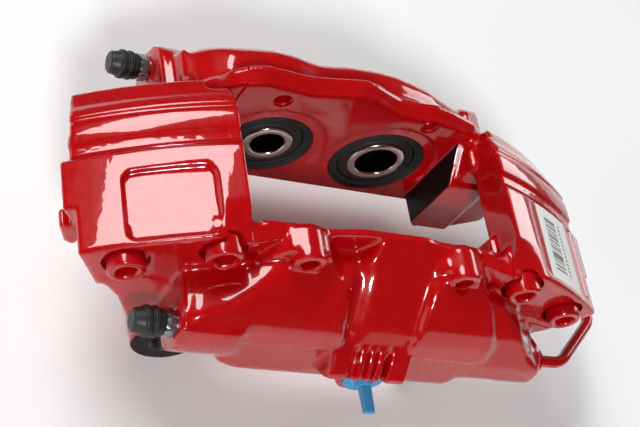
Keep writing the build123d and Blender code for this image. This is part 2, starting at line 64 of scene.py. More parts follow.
LOW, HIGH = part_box("piston_inboard_small"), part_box("piston_outboard_large")
ORIGIN = np.array((Vector(LOW[0]) + Vector(LOW[1]) + Vector(HIGH[0]) + Vector(HIGH[1])) / 4)
SIDES = {"inboard": -1, "outboard": 1}

DISC_Z = -175.0
ARCH_R, ARCH_INNER_R = 230.5, 210.0
LEG_START_X, LEG_END_X = 68.0, {-1: 137.0, 1: 134.2}
WALL_W = 34.0
BOLT_XZ = [(-112.0, 12.6), (-76.0, 30.0), (76.0, 30.0), (112.0, 12.6)]
BOLT_SEAT_W, BOLT_SEAT_R, BOLT_HOLE_R = 41.4, 10.2, 5.4
BOLT_LENGTH, BOLT_SHANK_R = 62.0, 4.95
BOLT_HEAD_H, BOLT_HEAD_R, BOLT_SOCKET = 10.0, 8.1, 8.0
TAPPED_R = 5.05
DOWEL_XZ, DOWEL_R = [(-94.0, 24.5), (94.0, 24.5)], 3.0
PIN_X, PIN_Z, PIN_R = 39.2, 34.9, 4.0
LUG_X, LUG_Z, LUG_R, LUG_FACE_W = 69.9, -48.0, 16.0, 50.0
LUG_HOLE_R, LUG_PITCH = 7.0, 1.5
PISTONS = {
    "small": dict(x=-29.9, bore=15.0, nose=12.3, hole=8.1, boot=21.7),
    "large": dict(x=29.9, bore=17.0, nose=14.55, hole=10.45, boot=23.75),
}
PISTON_LENGTH, CUP_DEPTH = 26.0, 20.0
BLEEDER_W, BLEEDER_X = 65.5, -87.0
BLEEDER_HEX, BLEEDER_CORNER_R, BLEEDER_THREAD_R = 11.0, 6.35, 4.95
TUBE_W, TUBE_Z, TUBE_X = 60.0, -13.2, 106.4
NUT_HEX, NUT_CORNER_R, NUT_THREAD_R = 12.0, 6.93, 4.9
PORT_X, PORT_Z, PORT_W, PORT_R = 18.5, -27.5, 69.5, 5.02
BORE_BOTTOM_W = 61.0
# Heights of the outboard half's two crests, the one along the window and the one over the bores, and the
# profile of its crown across the disc.
WINDOW_CREST = [
    (-80, 22), (-75, 27), (-70, 32), (-66, 40), (-60, 45), (-52, 47.6), (-40, 46.8), (-28, 46), (-17, 48.2),
    (-3, 51), (4, 49.6), (11, 46.5), (20, 43), (30, 42), (40, 43.2), (52, 40.6), (66, 36), (80, 24),
]
BORE_CREST = [
    (-92, 20), (-82, 21), (-77, 22), (-71, 28), (-63, 32), (-49, 35), (-40, 36.6), (-30, 36), (-21, 34),
    (-14, 33), (-7, 34), (0, 35.6), (13, 36.5), (24, 35.8), (36, 33), (46, 30), (55, 26), (69, 20), (85, 15),
]
CROWN = [
    (42, 41.5), (46, 39.8), (50, 40.6), (54, 40.8), (57, 39.4), (60, 37), (64, 32), (67, 28), (70, 22.5),
    (73, 16), (76, 8),
]
# CROWN is drawn where the crest over the bores has this height.
CROWN_LEVEL = 37
# The castings' skin: voxel size in millimetres, smoothing rounds, and the share of faces kept at the end.
VOXEL = 0.75
ROUNDS = 40
KEPT_FACES = 0.4
# Steps round each rounded corner of an outline.
CORNER_STEPS = 4


# ---------------------------------------------------------------- meshes

def new_object(name, verts, faces):
    """Mesh object from design-millimetre points."""
    mesh = bpy.data.meshes.new(name)
    points = np.asarray(verts, float) * MM + ORIGIN
    mesh.from_pydata(points.tolist(), [], faces)
    mesh.validate()
    obj = bpy.data.objects.new(name, mesh)
    bpy.context.scene.collection.objects.link(obj)
    return obj


def node_arrays(name):
    """Points (design millimetres) and faces of a CAD node."""
    mesh = NODES[name].data
    co = np.zeros(len(mesh.vertices) * 3)
    mesh.vertices.foreach_get("co", co)
    faces = [tuple(p.vertices) for p in mesh.polygons]
    return (co.reshape(-1, 3) - ORIGIN) / MM, faces


def hex_radius(flats, angle):
    """Distance to a hexagon's edge at an angle."""
    wedge = (angle + math.pi / 6) % (math.pi / 3) - math.pi / 6
    return flats / 2 / math.cos(wedge)


def lathe(rings, segments):
    """Closed skin round the Z axis. A ring is (height, radius) or (height, radius, flats across)."""
    verts, faces = [], []
    for ring in rings:
        height, radius = ring[0], ring[1]
        for k in range(segments):
            angle = 2 * math.pi * k / segments
            r = radius
            if len(ring) > 2:
                r = min(radius, hex_radius(ring[2], angle))
            verts.append((r * math.cos(angle), r * math.sin(angle), height))
    for i in range(len(rings) - 1):
        for k in range(segments):
            n = (k + 1) % segments
            a, b = i * segments, (i + 1) * segments
            faces.append((a + k, a + n, b + n, b + k))
    faces.append(tuple(range(segments))[::-1])
    last = (len(rings) - 1) * segments
    faces.append(tuple(range(last, last + segments)))
    return np.array(verts), faces


def ring_lathe(profile, segments=96):
    """Closed ring: a (radius, height) outline turned round the Z axis."""
    verts, faces = [], []
    for r, h in profile:
        for k in range(segments):
            angle = 2 * math.pi * k / segments
            verts.append((r * math.cos(angle), r * math.sin(angle), h))
    count = len(profile)
    for i in range(count):
        j = (i + 1) % count
        for k in range(segments):
            n = (k + 1) % segments
            faces.append((i * segments + k, i * segments + n, j * segments + n, j * segments + k))
    return np.array(verts), faces


def along_y(verts, x, z, side):
    """Turns a lathe's axis to +w of one side, at (x, z)."""
    return np.stack([verts[:, 0] + x, side * verts[:, 2], verts[:, 1] + z], axis=1)


def along_x(verts, y, z):
    """Turns a lathe's axis to X, at (y, z)."""
    return np.stack([verts[:, 2], verts[:, 0] + y, verts[:, 1] + z], axis=1)


def merged(parts):
    """One pair of arrays from several."""
    verts, faces, base = [], [], 0
    for v, f in parts:
        verts.append(np.asarray(v, float))
        faces += [tuple(i + base for i in face) for face in f]
        base += len(v)
    return np.concatenate(verts), faces


def prism_faces(count):
    """Faces of a prism whose ends have count points each, listed one end after the other."""
    faces = [tuple(range(count)), tuple(range(count, 2 * count))[::-1]]
    faces += [(k, (k + 1) % count, (k + 1) % count + count, k + count) for k in range(count)]
    return faces


def rod_y(x, z, side, w0, w1, r, segments=48):
    """Cylinder along one side's w, from w0 to w1, at (x, z)."""
    v, f = lathe([(w0, r), (w1, r)], segments)
    return along_y(v, x, z, side), f


def rod_x(y, z, x0, x1, r, segments=48):
    """Cylinder along X, from x0 to x1, at (y, z)."""
    v, f = lathe([(x0, r), (x1, r)], segments)
    return along_x(v, y, z), f


def rounded(points, radius):
    """Outline with its corners rounded; a corner's own radius may be its third number."""
    out, count = [], len(points)
    for i in range(count):
        p0, p1, p2 = (np.array(points[(i + d) % count][:2], float) for d in (-1, 0, 1))
        r = points[i][2] if len(points[i]) > 2 else radius
        a, b = p0 - p1, p2 - p1
        la, lb = np.linalg.norm(a), np.linalg.norm(b)
        reach = min(r, la * 0.45, lb * 0.45)
        if reach < 1e-3:
            out.append(tuple(p1))
            continue
        start, end = p1 + a / la * reach, p1 + b / lb * reach
        for k in range(CORNER_STEPS + 1):
            t = k / CORNER_STEPS
            out.append(tuple((1 - t) ** 2 * start + 2 * t * (1 - t) * p1 + t * t * end))
    return out


def fix_normals(obj):
    """Turns every face outwards."""
    bm = bmesh.new()
    bm.from_mesh(obj.data)
    bmesh.ops.recalc_face_normals(bm, faces=bm.faces)
    bm.to_mesh(obj.data)
    bm.free()


def shade(obj, angle):
    """Smooth shading with sharp edges above an angle."""
    for p in obj.data.polygons:
        p.use_smooth = True
    obj.data.set_sharp_from_angle(angle=math.radians(angle))


def apply_modifiers(obj):
    """Replaces a mesh by what its modifiers make of it."""
    graph = bpy.context.evaluated_depsgraph_get()
    mesh = bpy.data.meshes.new_from_object(obj.evaluated_get(graph))
    obj.modifiers.clear()
    obj.data = mesh


def voxel_remesh(obj):
    """Replaces overlapping closed shapes by one skin of small even faces."""
    remesh = obj.modifiers.new("remesh", "REMESH")
    remesh.mode = "VOXEL"
    remesh.voxel_size = VOXEL * MM
    apply_modifiers(obj)


def coords(obj):
    """A mesh's points in design millimetres."""
    co = np.zeros(len(obj.data.vertices) * 3)
    obj.data.vertices.foreach_get("co", co)
    return (co.reshape(-1, 3) - ORIGIN) / MM


def set_coords(obj, co):
    """Moves a mesh's points to places in design millimetres."""
    obj.data.vertices.foreach_set("co", (co * MM + ORIGIN).ravel())
    obj.data.update()


def relax(obj, strength, rounds):
    """Laplacian smoothing with a strength for each point."""
    co = coords(obj)
    edges = np.zeros(len(obj.data.edges) * 2, np.int64)
    obj.data.edges.foreach_get("vertices", edges)
    a, b = edges.reshape(-1, 2).T
    count = len(co)
    degree = np.bincount(a, minlength=count) + np.bincount(b, minlength=count)
    degree = np.maximum(degree, 1)
    for _ in range(rounds):
        for axis in range(3):
            c = co[:, axis]
            total = np.bincount(a, c[b], count) + np.bincount(b, c[a], count)
            co[:, axis] = c + strength * (total / degree - c)
    set_coords(obj, co)


def step(value, low, high):
    """0 below low, 1 above high, smooth between."""
    t = np.clip((value - low) / (high - low), 0, 1)
    return t * t * (3 - 2 * t)


# ---------------------------------------------------------------- castings

def leg_slab(end_x, w0, w1, side):
    """Both bridge legs carried a little past the joint face, so that it can be machined flat."""
    angle = math.asin(end_x / ARCH_R)
    start = math.asin(LEG_START_X / ARCH_R)
    arc = [start + (angle - start) * k / 24 for k in range(25)]
    ring = [(ARCH_R * math.sin(a), DISC_Z + ARCH_R * math.cos(a)) for a in arc]
    inner = [(ARCH_INNER_R * math.sin(a), DISC_Z + ARCH_INNER_R * math.cos(a)) for a in arc]
    inner[0] = (LEG_START_X, DISC_Z + math.sqrt(ARCH_INNER_R ** 2 - LEG_START_X ** 2))
    outline = ring + inner[::-1]
    parts = []
    for s in (-1, 1):
        verts = [(s * x, side * w, z) for w in (w0, w1) for x, z in outline]
        parts.append((np.array(verts), prism_faces(len(outline))))
    return parts


def fillers(side):
    """Plugs that close every drilled or bored hole, so that the raw casting can be smoothed."""
    parts = leg_slab(LEG_END_X[side], -4, 0.5, side)
    for x, z in BOLT_XZ:
        if side < 0:
            parts.append(rod_y(x, z, side, -3, 45.9, 5.8))
            parts.append(rod_y(x, z, side, 36, 45.9, 10.6))
        else:
            parts.append(rod_y(x, z, side, -3, 24.5, 5.6))
    for x, z in DOWEL_XZ:
        parts.append(rod_y(x, z, side, -3, 9, 3.6))
    for p in PISTONS.values():
        parts.append(rod_y(p["x"], 0, side, WALL_W + 0.05, 45, p["boot"] + 0.6, 96))
        parts.append(rod_y(p["x"], 0, side, 43, BORE_BOTTOM_W + 0.6, p["bore"] + 0.3, 96))
        parts.append(rod_y(p["x"], 0, side, 45, 51, p["bore"] + 3.6, 96))
    for s in (-1, 1):
        depth = 51.3 if side < 0 else 46
        parts.append(rod_y(s * PIN_X, PIN_Z, side, WALL_W + 0.05, depth, PIN_R + 0.6))
        if side < 0:
            parts.append(rod_y(s * LUG_X, LUG_Z, side, 31.1, 49.9, 7.6))
    parts.append(rod_x(side * BLEEDER_W, 0, BLEEDER_X - 0.7, BLEEDER_X + 22, 5.6))
    parts.append(rod_x(side * TUBE_W, TUBE_Z, TUBE_X - 14, TUBE_X - 0.05, 5.6))
    if side < 0:
        parts.append(rod_y(PORT_X, PORT_Z, side, 52, PORT_W - 0.05, 5.6))
    return parts


def bore_cutter(p, side):
    """Boot seat, bore and its closed end, as one turned tool."""
    v, f = lathe([(WALL_W - 3, p["boot"] + 0.5), (WALL_W - 0.1, p["boot"] + 0.5), (WALL_W + 0.4, p["boot"]),
                  (WALL_W + 7.5, p["boot"]), (WALL_W + 7.5, p["bore"] + 0.6), (WALL_W + 8.1, p["bore"]),
                  (BORE_BOTTOM_W - 1, p["bore"]), (BORE_BOTTOM_W - 0.4, p["bore"] - 0.8)], 128)
    return along_y(v, p["x"], 0, side), f


def thread_cutter(x, z, side, w0, w1, r, pitch):
    """Tapped hole: a tool with the thread's vee grooves and a countersink at its mouth."""
    rings = [(w0, r - 0.7)]
    w = w0 + pitch
    while w < w1 - 2.2:
        rings += [(w, r - 0.75), (w + pitch / 2, r)]
        w += pitch
    rings += [(w1 - 1.2, r - 0.6), (w1 + 0.1, r + 0.9), (w1 + 3, r + 0.9)]
    v, f = lathe(rings, 64)
    return along_y(v, x, z, side), f


def joint_face(side):
    """Slab that mills the joint face flat."""
    verts = [(x, side * w, z) for x in (-160, 160) for w in (-12, 0.01) for z in (-20, 60)]
    return verts, [(0, 1, 3, 2), (4, 6, 7, 5), (0, 4, 5, 1), (2, 3, 7, 6), (0, 2, 6, 4), (1, 5, 7, 3)]


def subtract(obj, parts):
    """Cuts closed shapes out of a mesh."""
    tool = new_object("tool", *merged(parts))
    fix_normals(tool)
    cut = obj.modifiers.new("cut", "BOOLEAN")
    cut.operation = "DIFFERENCE"
    cut.object = tool
    cut.solver = "EXACT"
    apply_modifiers(obj)
    bpy.data.objects.remove(tool)


def cutters(side):
    """Every machining operation done on the smoothed casting, apart from the joint face."""
    parts = [bore_cutter(p, side) for p in PISTONS.values()]
    for x, z in BOLT_XZ:
        if side < 0:
            v, f = lathe([(-2, BOLT_HOLE_R), (BOLT_SEAT_W, BOLT_HOLE_R), (BOLT_SEAT_W, 9.6),
                          (BOLT_SEAT_W + 0.6, BOLT_SEAT_R), (60, BOLT_SEAT_R)], 72)
        else:
            v, f = lathe([(-2, TAPPED_R), (23.6, TAPPED_R), (26, 0.5)], 48)
        parts.append((along_y(v, x, z, side), f))
    for x, z in DOWEL_XZ:
        parts.append(rod_y(x, z, side, -2, 7.3, DOWEL_R, 32))
    for s in (-1, 1):
        end = 51.4 if side < 0 else 44
        rings = [(WALL_W - 4, PIN_R + 0.6), (WALL_W, PIN_R + 0.6), (WALL_W + 0.6, PIN_R)]
        if side < 0:
            rings += [(end - 0.6, PIN_R), (end, PIN_R + 0.6), (end + 4, PIN_R + 0.6)]
        else:
            rings += [(end, PIN_R), (end + 1.6, 0.4)]
        v, f = lathe(rings, 48)
        parts.append((along_y(v, s * PIN_X, PIN_Z, side), f))
        if side < 0:
            parts.append(thread_cutter(s * LUG_X, LUG_Z, side, 28, LUG_FACE_W, LUG_HOLE_R, LUG_PITCH))
    v, f = lathe([(BLEEDER_X - 3, TAPPED_R), (BLEEDER_X + 15.5, TAPPED_R), (BLEEDER_X + 18, 2)], 48)
    parts.append((along_x(v, side * BLEEDER_W, 0), f))
    parts.append(rod_x(side * TUBE_W, TUBE_Z, TUBE_X - 12, TUBE_X + 3, PORT_R))
    if side < 0:
        v, f = lathe([(PORT_W - 15, PORT_R), (PORT_W + 0.3, PORT_R), (PORT_W + 0.3, 10.6),
                      (PORT_W + 12, 10.6)], 64)
        parts.append((along_y(v, PORT_X, PORT_Z, side), f))
    return parts


def softness(co, side):
    """Smoothing of each point as a radius in millimetres: flowing outside, crisp where it is machined."""
    x, w, z = co[:, 0], side * co[:, 1], co[:, 2]
    soft = np.full(len(co), 1.3)
    soft += 0.75 * step(w, 46, 50)
    wall = (w > WALL_W - 2) & (w < WALL_W + 2) & (np.abs(x) < 63) & (z < 24)
    soft[wall] = 0.5
    guide = (np.abs(x) > 59) & (np.abs(x) < 66) & (w > 15) & (w < 36) & (z < 29)
    soft[guide] = 0.35
    if side < 0:
        lug = np.hypot(np.abs(x) - LUG_X, z - LUG_Z) < LUG_R + 1.5
        soft[lug & (w > 48.2)] = 0.4
        pin = np.hypot(np.abs(x) - PIN_X, z - PIN_Z) < 9.5
        soft[pin & (w > 46)] = 0.8
        hood = (x > -4) & (x < 33) & (z > -24) & (z < 9) & (w > 52)
        soft[hood] = 0.7
        port = np.hypot(x - PORT_X, z - PORT_Z) < 15
        soft[port & (w > 60)] = 0.5
    face = np.hypot(w - BLEEDER_W, z) < 11
    soft[face & (x < BLEEDER_X + 2)] = 0.5
    return soft


def curve(points, value):
    """Piecewise linear curve through (position, height) points."""
    places, heights = zip(*points)
    return np.interp(value, places, heights)


def crest(co):
    """Lowers the outboard half's top to its two wavy crests and the dip between them."""
    x, w, z = co[:, 0], co[:, 1], co[:, 2]
    window = curve(WINDOW_CREST, x) - 3.0 * (1 - step(w, WALL_W, WALL_W + 5.5))
    crown = curve(CROWN, w) + curve(BORE_CREST, x) - CROWN_LEVEL
    blend = step(w, 41, 44.5)
    top = window * (1 - blend) + crown * blend
    reach = (np.abs(x + 3) < 74) & (w > WALL_W - 3)
    co[:, 2] = np.where(reach & (z > 12), np.minimum(z, top), z)
    return co


def carve(co, side):
    """Cast relief: recesses round the boots, edges of the joint, steps and corners of the legs, a valley."""
    x, w, z = co[:, 0], side * co[:, 1], co[:, 2]
    # Away from the boots, and above their lower part, the wall stands 1.1 mm closer to the disc.
    near_wall = (w > WALL_W - 1.5) & (w < WALL_W + 1.2) & (np.abs(x) < 60)
    reach = np.minimum.reduce([np.hypot(x - p["x"], z) - p["boot"] for p in PISTONS.values()])
    raise_by = 1.1 * step(reach, 5.2, 7.4) * step(z, -14, -6)
    co[:, 1] -= side * np.where(near_wall, raise_by, 0)
    # The legs' outer skin is lowered towards the disc's axis: first the rounded edge at the joint.
    radius = np.hypot(x, z - DISC_Z)
    outside = step(radius, ARCH_R - 8, ARCH_R - 3) * (np.abs(x) > 60)
    dip = 1.5 * np.clip((1.9 - w) / 1.9, 0, 1) ** 2
    if side > 0:
        # Two steps across the outboard legs, and a groove between them.
        dip = dip + 1.3 * (1 - step(w, 5.2, 7.4)) + 0.9 * np.exp(-((w - 18.5) / 1.5) ** 2)
        dip = dip + 0.5 * step(w, 24, 28)
    else:
        # The inboard legs slope down at their corner by the window, on the side away from the disc.
        corner = step(84 - np.abs(x), 0, 15) * step(w, 27, 43)
        dip = dip + 6.2 * corner * (z > 30)
        # Valley between the two bumps over the bores.
        groove = np.exp(-((x + 9) / 4.2) ** 2) * step(w, 42, 50) * (1 - step(w, 66, 70)) * (z > 4)
        co[:, 1] += 1.6 * groove
        co[:, 2] -= 2.4 * groove
        z = co[:, 2]
        # Underside of the hood over the port.
        under = (np.abs(x - 6) < 23) & (w > 70.5) & (z < -9)
        limit = np.maximum(80.5 + 1.3 * (z + 9), 70.5)
        co[:, 1] = np.where(under, side * np.minimum(w, limit), co[:, 1])
    shrink = 1 - outside * dip / np.maximum(radius, 1)
    co[:, 0] = x * shrink
    co[:, 2] = DISC_Z + (z - DISC_Z) * shrink
    return co


def keep_inside(co, name):
    """Keeps a casting inside its CAD node's box, apart from the stock on its joint face."""
    low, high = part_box(name)
    low = (np.array(low) - ORIGIN) / MM
    high = (np.array(high) - ORIGIN) / MM
    low[1], high[1] = min(low[1], -9), max(high[1], 9)
    return np.clip(co, low, high)


def paint_regions(obj, side):
    """Material numbers of a finished casting: 0 paint, 1 dark bare faces, 2 bored metal."""
    mesh = obj.data
    count = len(mesh.polygons)
    centre, normal = np.zeros(count * 3), np.zeros(count * 3)
    mesh.polygons.foreach_get("center", centre)
    mesh.polygons.foreach_get("normal", normal)
    centre = (centre.reshape(-1, 3) - ORIGIN) / MM
    normal = normal.reshape(-1, 3)
    x, w, z = centre[:, 0], side * centre[:, 1], centre[:, 2]
    index = np.zeros(count, np.int32)
    guide = (np.abs(x) < 62.4) & (np.abs(x) > 60.6) & (w > 17) & (w < 34.6) & (z < 28)
    index[guide & (-np.sign(x) * normal[:, 0] > 0.7)] = 1
    for p in PISTONS.values():
        reach = np.hypot(x - p["x"], z)
        index[(reach < p["boot"] + 0.3) & (w > WALL_W + 0.3) & (w < WALL_W + 8)] = 2
        index[(reach < p["bore"] + 0.25) & (w > WALL_W + 0.3) & (w < BORE_BOTTOM_W)] = 2
    if side < 0:
        lug = np.hypot(np.abs(x) - LUG_X, z - LUG_Z)
        index[(lug < LUG_R + 0.4) & (w > LUG_FACE_W - 0.8)] = 1
        index[(lug < 8.0) & (w > 28)] = 2
        port = np.hypot(x - PORT_X, z - PORT_Z)
        index[(port < 5.2) & (w < PORT_W + 0.1) & (w > 50)] = 2
    mesh.polygons.foreach_set("material_index", index)


def casting(half, materials):
    """One painted half: CAD solid with its holes closed, smoothed, given relief and machined again."""
    side, name = SIDES[half], half + "_housing"
    verts, faces = merged([node_arrays(name)] + fillers(side))
    obj = new_object(half + "_casting", verts, faces)
    voxel_remesh(obj)
    if side > 0:
        set_coords(obj, crest(coords(obj)))
        voxel_remesh(obj)
    radius = softness(coords(obj), side)
    relax(obj, np.minimum(2 * (radius / VOXEL) ** 2 / ROUNDS, 1), ROUNDS)
    set_coords(obj, keep_inside(carve(coords(obj), side), name))
    thin = obj.modifiers.new("thin", "DECIMATE")
    thin.ratio = KEPT_FACES
    apply_modifiers(obj)
    subtract(obj, [joint_face(side)])
    subtract(obj, cutters(side))
    obj.data.materials.clear()
    for m in materials:
        obj.data.materials.append(m)
    paint_regions(obj, side)
    shade(obj, 32)
    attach(obj, "caliper")
    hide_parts(name)


# ---------------------------------------------------------------- materials

SKIN_DEPTH = 0.0001


def material(name, color, roughness, metallic=0.0):
    """New material, with its node tree and its shader."""
    m = bpy.data.materials.new(name)
    m.use_nodes = True
    shader = m.node_tree.nodes["Principled BSDF"]
    shader.inputs["Base Color"].default_value = (*color, 1)
    shader.inputs["Roughness"].default_value = roughness
    shader.inputs["Metallic"].default_value = metallic
    return m, m.node_tree, shader


def noise(tree, scale, detail=2.0, stretch=None):
    """Noise in the object's own coordinates, in cycles per metre."""
    place = tree.nodes.new("ShaderNodeTexCoord")
    source = place.outputs["Object"]
    if stretch:
        mapping = tree.nodes.new("ShaderNodeMapping")
        mapping.inputs["Scale"].default_value = stretch
        tree.links.new(source, mapping.inputs["Vector"])
        source = mapping.outputs["Vector"]
    node = tree.nodes.new("ShaderNodeTexNoise")
    node.inputs["Scale"].default_value = scale
    node.inputs["Detail"].default_value = detail
    tree.links.new(source, node.inputs["Vector"])
    return node.outputs["Fac"]


def ramp(tree, source, low, high, start=0.35, end=0.65):
    """Colour between two colours as a value goes from start to end."""
    node = tree.nodes.new("ShaderNodeValToRGB")
    node.color_ramp.elements[0].position = start
    node.color_ramp.elements[0].color = (*low, 1)
    node.color_ramp.elements[1].position = end
    node.color_ramp.elements[1].color = (*high, 1)
    tree.links.new(source, node.inputs["Fac"])
    return node.outputs["Color"]


def spread(tree, source, low, high):
    """Value from low to high as noise goes over its usual range."""
    node = tree.nodes.new("ShaderNodeMapRange")
    node.inputs["From Min"].default_value = 0.3
    node.inputs["From Max"].default_value = 0.7
    node.inputs["To Min"].default_value = low
    node.inputs["To Max"].default_value = high
    tree.links.new(source, node.inputs["Value"])
    return node.outputs["Result"]


def bump(tree, shader, source, distance, strength, into="Normal"):
    """Fine surface relief from a value; the distance is in metres."""
    node = tree.nodes.new("ShaderNodeBump")
    node.inputs["Distance"].default_value = distance
    node.inputs["Strength"].default_value = strength
    tree.links.new(source, node.inputs["Height"])
    tree.links.new(node.outputs["Normal"], shader.inputs[into])


def paint(name, deep, bright):
    """Gloss brake enamel over a cast skin: clearcoat, faint orange peel, uneven film."""
    m, tree, shader = material(name, bright, 0.3)
    tree.links.new(ramp(tree, noise(tree, 60, 3), deep, bright), shader.inputs["Base Color"])
    tree.links.new(spread(tree, noise(tree, 220, 2), 0.2, 0.34), shader.inputs["Roughness"])
    bump(tree, shader, noise(tree, 420, 3), 0.0002, 0.25)
    bump(tree, shader, noise(tree, 260, 1), 0.0002, 0.06, "Coat Normal")
    shader.inputs["Coat Weight"].default_value = 1.0
    shader.inputs["Coat Roughness"].default_value = 0.02
    shader.inputs["Specular IOR Level"].default_value = 0.12
    return m


def metal(name, low, high, rough, scale, stretch=None):
    """Bare metal with tool marks or brushing."""
    m, tree, shader = material(name, high, rough[0], 1.0)
    marks = noise(tree, scale, 4, stretch)
    tree.links.new(ramp(tree, marks, low, high), shader.inputs["Base Color"])
    tree.links.new(spread(tree, noise(tree, scale * 1.7, 3, stretch), *rough), shader.inputs["Roughness"])
    bump(tree, shader, marks, SKIN_DEPTH, 0.25)
    return m


def dielectric(name, low, high, rough, scale=300):
    """Rubber or moulded plastic with a fine moulded skin."""
    m, tree, shader = material(name, high, rough[0])
    tree.links.new(ramp(tree, noise(tree, scale * 0.2, 3), low, high), shader.inputs["Base Color"])
    tree.links.new(spread(tree, noise(tree, scale, 3), *rough), shader.inputs["Roughness"])
    bump(tree, shader, noise(tree, scale * 3, 2), SKIN_DEPTH, 0.3)
    return m


def math_node(tree, operation, a, b):
    """One step of arithmetic on two values or sockets."""
    node = tree.nodes.new("ShaderNodeMath")
    node.operation = operation
    for socket, value in zip(node.inputs, (a, b)):
        if hasattr(value, "is_output"):
            tree.links.new(value, socket)
        else:
            socket.default_value = value
    return node.outputs[0]


def inside(tree, value, low, high):
    """1 where low < value < high."""
    above = math_node(tree, "GREATER_THAN", value, low)
    below = math_node(tree, "LESS_THAN", value, high)
    return math_node(tree, "MULTIPLY", above, below)


def label_print():
    """White label stock with plain bars of uneven width and a column of short dashes."""
    low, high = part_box("data_label")
    m, tree, shader = material("label_stock", (0.82, 0.82, 0.8), 0.5)
    place = tree.nodes.new("ShaderNodeTexCoord")
    split = tree.nodes.new("ShaderNodeSeparateXYZ")
    tree.links.new(place.outputs["Object"], split.inputs["Vector"])
    x, y = split.outputs["X"], split.outputs["Y"]
    line = tree.nodes.new("ShaderNodeTexNoise")
    line.noise_dimensions = "1D"
    line.inputs["Scale"].default_value = 900
    line.inputs["Detail"].default_value = 0
    tree.links.new(y, line.inputs["W"])
    width, length = high.x - low.x, high.y - low.y
    bars = math_node(tree, "GREATER_THAN", line.outputs["Fac"], 0.47)
    across = inside(tree, x, low.x + 0.2 * width, low.x + 0.56 * width)
    along = inside(tree, y, low.y + 0.13 * length, high.y - 0.14 * length)
    code = math_node(tree, "MULTIPLY", math_node(tree, "MULTIPLY", bars, across), along)
    wave = math_node(tree, "FRACT", math_node(tree, "MULTIPLY", y, 480), 0)
    dash = inside(tree, wave, 0.2, 0.75)
    column = inside(tree, x, low.x + 0.66 * width, low.x + 0.73 * width)
    dashes = math_node(tree, "MULTIPLY", math_node(tree, "MULTIPLY", dash, column), along)
    ink = math_node(tree, "MAXIMUM", code, dashes)
    print_color = ramp(tree, ink, (0.8, 0.8, 0.78), (0.13, 0.13, 0.14), 0.4, 0.6)
    tree.links.new(print_color, shader.inputs["Base Color"])
    tree.links.new(spread(tree, noise(tree, 300, 2), 0.4, 0.55), shader.inputs["Roughness"])
    return m


RED_DEEP, RED = (0.43, 0.0006, 0.0020), (0.47, 0.0009, 0.0028)
PAINT = paint("brake_enamel", RED_DEEP, RED)
PAINT_STEEL = paint("brake_enamel_on_steel", (0.42, 0.0006, 0.0020), (0.46, 0.0009, 0.0028))
DARK_BARE = metal("dark_bare_iron", (0.018, 0.018, 0.02), (0.045, 0.045, 0.05), (0.42, 0.6), 500, (1, 1, 6))
BORED = metal("bored_metal", (0.07, 0.065, 0.06), (0.16, 0.15, 0.14), (0.35, 0.5), 700)
CHROME = metal("piston_plating", (0.60, 0.57, 0.53), (0.74, 0.71, 0.67), (0.10, 0.2), 900)
# Near-black metal for the inside of the piston cups: painted shade inside the hollow.
CUP_PAINTED_SHADE = metal("piston_cup_painted_shade", (0.012, 0.011, 0.010), (0.035, 0.032, 0.030), (0.4, 0.55), 700)
ZINC = metal("zinc_passivate", (0.26, 0.27, 0.3), (0.42, 0.43, 0.46), (0.28, 0.42), 350)
STEEL = metal("ground_steel", (0.42, 0.42, 0.42), (0.6, 0.6, 0.6), (0.25, 0.4), 600)
BOOT = dielectric("boot_rubber", (0.007, 0.008, 0.008), (0.014, 0.015, 0.015), (0.6, 0.72))
CAP = dielectric("cap_rubber", (0.008, 0.008, 0.008), (0.015, 0.015, 0.015), (0.42, 0.56))
SEAL = dielectric("seal_rubber", (0.01, 0.01, 0.01), (0.02, 0.02, 0.02), (0.5, 0.6))
BLUE = dielectric("blue_moulding", (0.035, 0.27, 0.56), (0.06, 0.34, 0.66), (0.3, 0.42), 200)
LABEL = label_print()


# ---------------------------------------------------------------- fitted pieces

def piece(name, arrays, mat, body, replaced=None, angle=35):
    """One shown piece that rides a body and the CAD node it replaces."""
    obj = new_object(name, *arrays)
    fix_normals(obj)
    obj.data.materials.append(mat)
    shade(obj, angle)
    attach(obj, body)
    if replaced:
        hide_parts(replaced)
    return obj


def bolt(index, x, z):
    """Socket-head bridge bolt with rolled edges; its thread is inside the castings."""
    tip, top = BOLT_SEAT_W - BOLT_LENGTH, BOLT_SEAT_W + BOLT_HEAD_H
    rings = [(tip + 0.6, 4.3), (tip + 1, BOLT_SHANK_R), (BOLT_SEAT_W, BOLT_SHANK_R),
             (BOLT_SEAT_W + 0.02, 7.7),
             (BOLT_SEAT_W + 0.4, BOLT_HEAD_R), (top - 1.2, BOLT_HEAD_R), (top - 0.75, 8.0),
             (top - 0.35, 7.7),
             (top - 0.1, 7.25), (top, 6.7), (top, 5.5), (top - 0.25, 5.0),
             (top - 0.8, 4.75, BOLT_SOCKET + 0.5),
             (top - 1.3, 4.65, BOLT_SOCKET + 0.1), (top - 5.4, 4.62, BOLT_SOCKET),
             (top - 5.5, 4.3, BOLT_SOCKET - 0.2), (top - 6.6, 0.5)]
    v, f = lathe(rings, 72)
    piece(f"bridge_bolt_{index}", (along_y(v, x, z, -1), f), PAINT_STEEL, "caliper",
          "bridge_bolts" if index == 1 else None)


